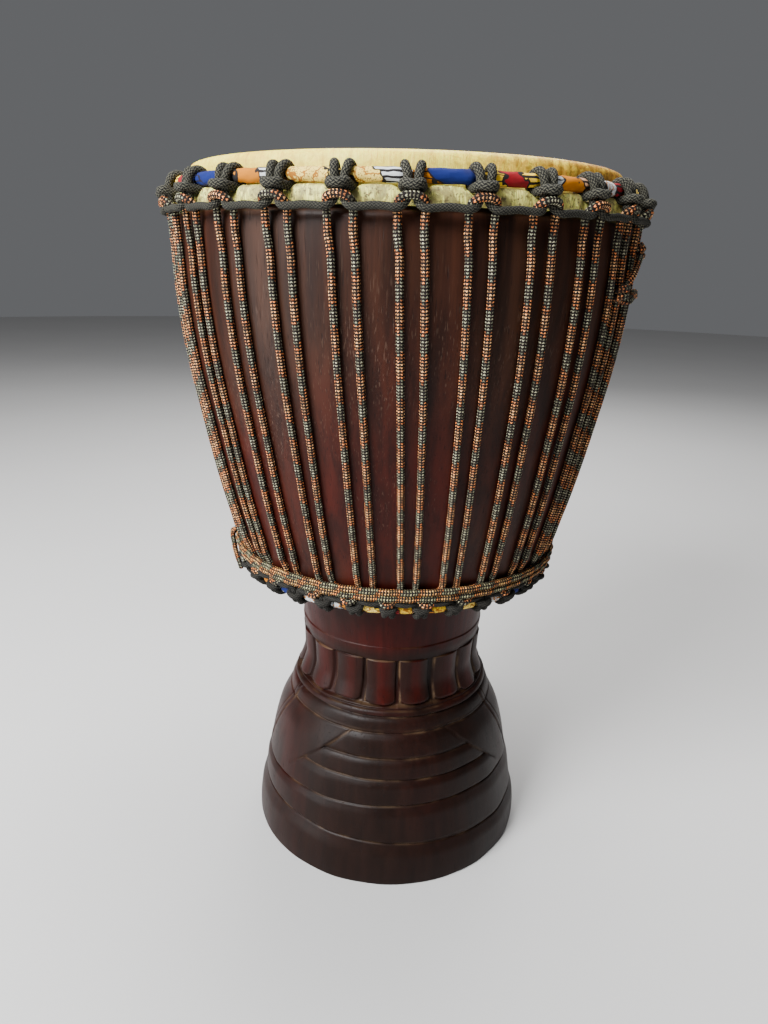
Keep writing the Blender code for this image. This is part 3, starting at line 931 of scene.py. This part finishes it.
def make_skin():
    """The membrane, its collar over the bearing edge, and the roll that bulges between the knots."""
    azimuth = np.arange(1080) / 3.0
    flat = np.array([0.0005, 0.01, 0.03, 0.06, 0.09, 0.12, 0.14, 0.152, EDGE_R]) / EDGE_R
    top = [(EDGE_R * t, HEAD - 0.2 * MM * (1 - t * t)) for t in flat]
    bend = [(0.1612, 0.00025), (0.1632, 0.001), (0.1646, 0.0024), (0.1654, 0.0045)]
    top += [(radius, HEAD - down) for radius, down in bend]
    collar = [(0.1657, 0.5720), (0.1658, 0.5680), (0.1658, 0.5640), (0.1660, 0.5605)]
    under = [
        (0.1652, 0.5600), (0.1647, 0.5700), (0.1646, 0.5745), (0.1630, 0.5780), (EDGE_R, HEAD - 0.0009),
        (0.12, HEAD - 0.0010), (0.06, HEAD - 0.0011), (0.0005, HEAD - 0.0011),
    ]
    gap = smoothstep(3.5 * MM, 13.0 * MM, from_knot(azimuth, FRONT_KNOT, STEP, ROLL_R))
    lump = waves(azimuth, 51, 6, 8, 60)
    turn = np.radians(np.linspace(188, 360 + 150, 34))[:, None]
    squash = 1.0 - 0.10 * np.cos(2 * turn) ** 2
    wide = (3.75 + 0.65 * gap + 0.22 * lump) * MM
    tall = (4.2 + 2.0 * gap + 0.25 * lump) * MM
    roll_r = HOOP[0] + (0.25 + 0.35 * gap) * MM + wide * np.cos(turn) * squash
    roll_z = HOOP[1] + (0.5 + 2.0 * gap) * MM + tall * np.sin(turn) * squash
    over_r, over_z = (columns(part, len(azimuth)) for part in zip(*top, *collar))
    under_r, under_z = (columns(part, len(azimuth)) for part in zip(*under))
    r = np.vstack([over_r, np.maximum(roll_r, COLLAR_R), under_r])
    z = np.vstack([over_z, roll_z, under_z])
    az = np.tile(azimuth, (len(r), 1))
    start, end = len(over_r), len(over_r) + len(turn)
    strength = np.zeros((len(r), 1))
    strength[len(flat) + 1 : start] = 0.12
    strength[start:end] = 0.16
    r = np.maximum(r + MM * strength * waves(az, 53, 8, 40, 150), 0.0005)
    z = z + MM * strength * 0.5 * waves(az, 54, 8, 30, 120)
    along = np.concatenate([[0.0], np.cumsum(np.hypot(np.diff(r[:, 0]), np.diff(z[:, 0])))])
    hair = np.zeros_like(r)
    hair[start - 2 : start] = 0.4
    hair[start:end] = 1.0
    face = (az + 180) % 360 - 180
    tan = 0.25 + 0.75 * smoothstep(-5, 55, face) * smoothstep(150, 110, face) + 0.2 * waves(az, 55, 4, 1, 6)
    tan = np.clip(tan, 0, 1)
    tan[: len(flat) - 1] *= 0.4
    piece = mesh_object("drum_skin_visual", around(r, az, z)[::-1], skin_look(),
                        (np.append(azimuth, 360.0) / 360.0, along[::-1]),
                        attributes=(("tan", tan[::-1]), ("hair", hair[::-1])))
    install(piece, "drum_skin")


make_skin()


# ---- rings in their cloth

KNOT_HALF = 5.0 * MM  # half the width of cloth that a knot squeezes
CLOTH_SIDES = 28


def wrapped_ring(name, node, centre, first, step, full, look, seed):
    """A ring wound with printed cloth, which the knots squeeze."""
    azimuth = np.arange(1440) / 4.0
    turn = np.radians(np.arange(CLOTH_SIDES) / CLOTH_SIDES * 360 - 180)
    off = from_knot(azimuth, first, step, centre[0])
    loose = smoothstep(KNOT_HALF - 1.5 * MM, KNOT_HALF + 2.5 * MM, off)[:, None]
    az, around_ring = np.meshgrid(azimuth, turn, indexing="ij")
    wobble = waves(az + np.degrees(around_ring) * 0.35, seed, 6, 20, 90)
    fold = np.cos(np.radians(az) * 108 + around_ring + waves(az, seed + 1, 4, 2, 9))
    r = PINCHED_R + (full - PINCHED_R) * loose + MM * 0.16 * loose * wobble
    r = r + 0.22 * MM * np.clip(fold, 0.55, 1) * loose - 0.12 * MM * loose
    points = around(centre[0] + r * np.cos(around_ring), az, centre[1] + r * np.sin(around_ring))
    u = (np.append(azimuth, 360.0) - first) / step + 1
    v = np.append(turn, np.pi)
    install(mesh_object(name, np.transpose(points, (1, 0, 2)), look, (u, v), True), node)


wrapped_ring("crown_ring_cloth_visual", "crown_ring_cloth", CROWN, FRONT_KNOT, STEP, RING_WRAP_R,
             print_look("crown_print", PRINTS, GAP_LENGTH), 61)
wrapped_ring("lower_ring_cloth_visual", "lower_ring_cloth", LOWER, LOWER_FRONT_KNOT, LOWER_STEP,
             LOWER_WRAP_R, print_look("lower_print", LOWER_PRINTS, LOWER_GAP_LENGTH), 71)
steel = steel_look()
for node in RODS:
    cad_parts[node].data.materials.clear()
    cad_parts[node].data.materials.append(steel)


# ---- lacing

KNOT_AZIMUTHS = [FRONT_KNOT + STEP * i for i in range(LOOPS)]
STRAND_HEIGHTS = np.array([0.2955, 0.310, 0.335, 0.365, 0.400, 0.435, 0.470, 0.500, 0.522])
ARCH_TOP = 0.553
BIGHT_LOW = 0.276
BIGHT_R, BIGHT_Z = 0.1352, 0.2860  # radius and height of a bight's two sides


def lean(z):
    """How far round a strand has drifted at a height."""
    return DRIFT * (ARCH_TOP - z)


def mirrored(half):
    """A knot's left half, then its right half, from the left one's mirror image."""
    return np.array([(-side, radius, z) for side, radius, z in half] + half[::-1])


def tension_points():
    """Up a strand, over an arch, down the next strand and round a bight, 27 times."""
    arch = [
        (-7.9, 180, 533.5), (-8, 180.7, 540), (-8.3, 181, 545), (-8.3, 182.4, 548.6), (-7, 185.8, 551.2),
        (-4.4, 187.2, 552.8), (-1.6, 187.4, 553.2), (1.6, 187.4, 553.2), (4.4, 187, 552.6),
        (7, 185.4, 550.9), (8.3, 182.2, 548.2), (8.2, 180.9, 544.6), (8, 180.5, 539.6), (7.9, 180, 533),
    ]
    dip = mirrored([(7.0, 134.3, 278.9), (4.8, 135.4, 274.9), (2.0, 137.4, 272.5)])
    heights = STRAND_HEIGHTS
    radius = bowl_radius(heights) + ROPE_R + 0.1 * MM
    fall = 1 - (heights - heights[0]) / (heights[-1] - heights[0])
    aside = STEP / 2 - HALF_PAIR
    rng = np.random.default_rng(7)
    points = []
    for azimuth in KNOT_AZIMUTHS:
        wander = rng.normal(0, 0.22, 2)
        up = around(radius, azimuth - HALF_PAIR + lean(heights) + wander[0] * fall, heights)
        down = around(radius, azimuth + HALF_PAIR + lean(heights) + wander[1] * fall, heights)
        low = azimuth + STEP / 2 + lean(BIGHT_LOW)
        knot = LOWER_FRONT_KNOT + LOWER_STEP * round((low - LOWER_FRONT_KNOT) / LOWER_STEP)
        points += [up, beside(azimuth, arch), down[::-1], around(BIGHT_R, low - aside, BIGHT_Z)]
        points += [beside(low + 0.35 * (knot - low), dip), around(BIGHT_R, low + aside, BIGHT_Z)]
    return np.vstack(points)


def crown_points():
    """The crown rope: in front of one leg of an arch, twice round the ring behind a bight, and on."""
    rng = np.random.default_rng(17)
    into = [
        (-21.4, 185.2, 547.3), (-14, 185.4, 546.9), (-9.6, 185.9, 546.6), (-7, 185.6, 547),
        (-4.6, 184, 548.9), (-3, 182.2, 551.9),
    ]
    out = [(3, 182.2, 551.7), (4.6, 184, 548.7), (7, 185.6, 546.8), (9.6, 185.9, 546.4), (14, 185.4, 546.7)]
    half = [
        (2.8, 181.8, 556.5), (2.9, 182.3, 561.5), (3.5, 181.4, 566), (4.5, 178.4, 569.6),
        (4.9, 174.6, 569.6), (5.1, 171, 566.6), (5.5, 170.4, 562.4), (5.8, 172.8, 559.1),
        (5.8, 177.6, 558.1), (5.6, 182.6, 558.6), (4.6, 186.2, 559.7), (2.2, 188, 559.3),
    ]
    nearly, knotted = np.linspace(RUN_R, KNOT_R, len(into))[-2:]
    thick = [RUN_R] * 4 + [nearly, knotted] + [KNOT_R] * (2 * len(half)) + [knotted, nearly] + [RUN_R] * 3
    points = []
    for azimuth in KNOT_AZIMUTHS:
        wander = rng.normal(0, 0.25, (1, 3)) + rng.normal(0, 0.18, (2 * len(half), 3))
        points.append(beside(azimuth, np.vstack([into, mirrored(half) + wander, out]), thick))
    return np.vstack(points)


def lower_points():
    """The lower cradle rope: the same knot drawn up tighter."""
    rng = np.random.default_rng(19)
    into = [(-12.3, 136.4, 272.7), (-8, 136.2, 273.3), (-4.6, 134.6, 273.2)]
    half = [
        (2.4, 133.6, 271.6), (2.2, 134.2, 268.6), (2.3, 134.2, 264.6), (2.8, 132.2, 262),
        (3.2, 128.8, 261.2), (3.6, 125.2, 262.4), (4, 123.7, 266.4), (4.5, 125.3, 270.2),
        (4.8, 129, 271.3), (4.9, 133, 269.9), (4.4, 135.9, 268.4), (2.2, 137.6, 267.6),
    ]
    out = [(4.6, 134.6, 273.2), (8, 136.2, 273.3)]
    thick = [LOWER_RUN_R] * 2 + [LOWER_KNOT_R] * (2 * len(half) + 2) + [LOWER_RUN_R]
    points = []
    for i in range(LOWER_KNOTS):
        knot = mirrored(half) + rng.normal(0, 0.25, (2 * len(half), 3))
        points.append(beside(LOWER_FRONT_KNOT + LOWER_STEP * i, np.vstack([into, knot, out]), thick))
    return np.vstack(points)


rope("tension_rope_lace", "tension_rope", tension_points(), ROPE_R, patterned, closed=True, cuts=9)
rope("crown_cradle_rope_braid", "crown_cradle_rope", crown_points(), None, black, False, True, 3)
rope("lower_cradle_rope_braid", "lower_cradle_rope", lower_points(), None, shaded_lower_black, False, True, 3)

BELT_START = -81.0  # azimuth
BELT_TURNS = 2
BELT_Z, BELT_R = 0.2851, 0.1396
BELT_FALL, BELT_DRAW = 0.0053, 0.0009  # how much lower and closer in each turn ends
BELT_SINK = 0.8 * MM  # between two strands


def belt_points():
    azimuth = np.arange(BELT_START, BELT_START + BELT_TURNS * 360 + 0.1, 1.5)
    turns = (azimuth - BELT_START) / 360
    z = BELT_Z - BELT_FALL * turns
    between = 0.5 - 0.5 * np.cos(np.radians((azimuth - FRONT_KNOT - lean(z)) / STEP * 720))
    return around(BELT_R - BELT_DRAW * turns - BELT_SINK * between, azimuth, z)


rope("belt_rope_braid", "belt_rope", belt_points(), ROPE_R + 0.1 * MM, belt_braid, ends=(True, True))

WEAVE_UPPER, WEAVE_LOWER = 0.5310, 0.4970  # heights of its two rows
WEAVE_END = 145.0  # azimuth where the rows stop
HITCH_START = 60.0  # degrees round a strand
HITCH_FALL = -4.9  # mm for each turn


def weave_row(first, last, height, sign):
    """A row that passes over the strands and sinks a little between them."""
    points = []
    for azimuth in np.linspace(first, last, max(2, round(abs(last - first) / 3.3))):
        near = math.cos(math.radians((azimuth - FRONT_KNOT - lean(height)) / STEP * 360))
        z = height + sign * 1.2 * MM * near
        points.append(around(bowl_radius(z) + ROPE_R * 2.9 + 0.5 * MM * near, azimuth, z))
    return points


def hitch(azimuth, top, sweep):
    """Turns round a strand, from its right side over its front; sweep in degrees."""
    points = []
    for angle in np.arange(HITCH_START, HITCH_START - sweep, -30.0):
        z = top + HITCH_FALL * MM * (HITCH_START - angle) / 360
        outward = max(5.6 * math.cos(math.radians(angle)), 0.2)
        side = 5.4 * math.sin(math.radians(angle))
        points += list(beside(azimuth, [(side, 1000 * bowl_radius(z) + 2.6 + outward, 1000 * z)]))
    return points


def tucked_end(height):
    """A row's far end, which dives between two strands and under the second."""
    radius = bowl_radius(height)
    return [around(radius + 0.9 * ROPE_R, 149.3, height), around(radius + 1.5 * ROPE_R, 147.4, height)]


def weave_points():
    """The spare end of the tension rope: across the strands, down and back, with a hitch at each turn."""
    points = tucked_end(WEAVE_UPPER) + weave_row(WEAVE_END, 76.0, WEAVE_UPPER, 1)
    points += hitch(70.6, 0.5300, 480)
    points += [around(0.1846, 65.6, 0.5216), around(0.1842, 63.4, 0.5160), around(0.1836, 61.4, 0.5100)]
    points += hitch(57.4, 0.5030, 660)
    points += [around(0.1830, 59.8, 0.4930), around(0.1836, 62.6, 0.4950)]
    return np.array(points + weave_row(66.0, WEAVE_END, WEAVE_LOWER, -1) + tucked_end(WEAVE_LOWER)[::-1])


rope("tension_rope_weave_braid", "tension_rope_weave", weave_points(), ROPE_R, patterned, ends=(True, True))


# ---- floor and light

FLOOR_R = 6.0
FLOOR_SIDES = 64
FLOOR_Z = -0.0002
WORLD_COLOUR = (0.86, 0.88, 0.92, 1.0)
WORLD_STRENGTH = 0.15
# Area lights, as (name, position, target, size, watts, colour)
LIGHTS = [
    ("key", (-1.2, -1.3, 1.65), (0, 0, 0.38), (1.0, 0.8), 130, (0.97, 0.985, 1.0)),
    ("side", (-1.5, -0.7, 0.42), (0, 0, 0.42), (0.8, 1.1), 26, (0.95, 0.98, 1.0)),
    ("back", (0.3, 1.9, 1.5), (0, 0, 0.35), (1.0, 0.9), 20, (1.0, 1.0, 1.0)),
    ("top", (0.1, 0.4, 2.0), (0, 0, 0.40), (1.2, 1.0), 46, (1.0, 1.0, 1.0)),
]


def add_floor():
    look = Look("floor", 0.9)
    colour = look.mix(look.noise(3.0), (0.54, 0.53, 0.52), (0.58, 0.57, 0.56))
    grit = look.noise(400.0, over=look.coordinates("Generated"))
    mesh = bpy.data.meshes.new("floor")
    angles = np.linspace(0, TURN, FLOOR_SIDES, endpoint=False)
    corners = [(FLOOR_R * math.cos(a), FLOOR_R * math.sin(a), 0.0) for a in angles]
    mesh.from_pydata(corners, [], [list(range(FLOOR_SIDES))])
    mesh.materials.append(look.finish(colour, None, look.bump(grit, 0.1 * MM, 0.2)))
    floor = add_object("floor", mesh)
    floor.location.z = FLOOR_Z


def add_light(name, position, target, size, energy, colour):
    data = bpy.data.lights.new(name, "AREA")
    data.shape = "RECTANGLE"
    data.size, data.size_y = size
    data.energy = energy
    data.color = colour
    made = add_object(name, data)
    made.location = position
    made.rotation_euler = (Vector(target) - Vector(position)).to_track_quat("-Z", "Y").to_euler()


def add_world():
    world = bpy.data.worlds.new("studio")
    world.use_nodes = True
    background = world.node_tree.nodes["Background"]
    background.inputs[0].default_value = WORLD_COLOUR
    background.inputs[1].default_value = WORLD_STRENGTH
    bpy.context.scene.world = world


add_floor()
for light in LIGHTS:
    add_light(*light)
add_world()
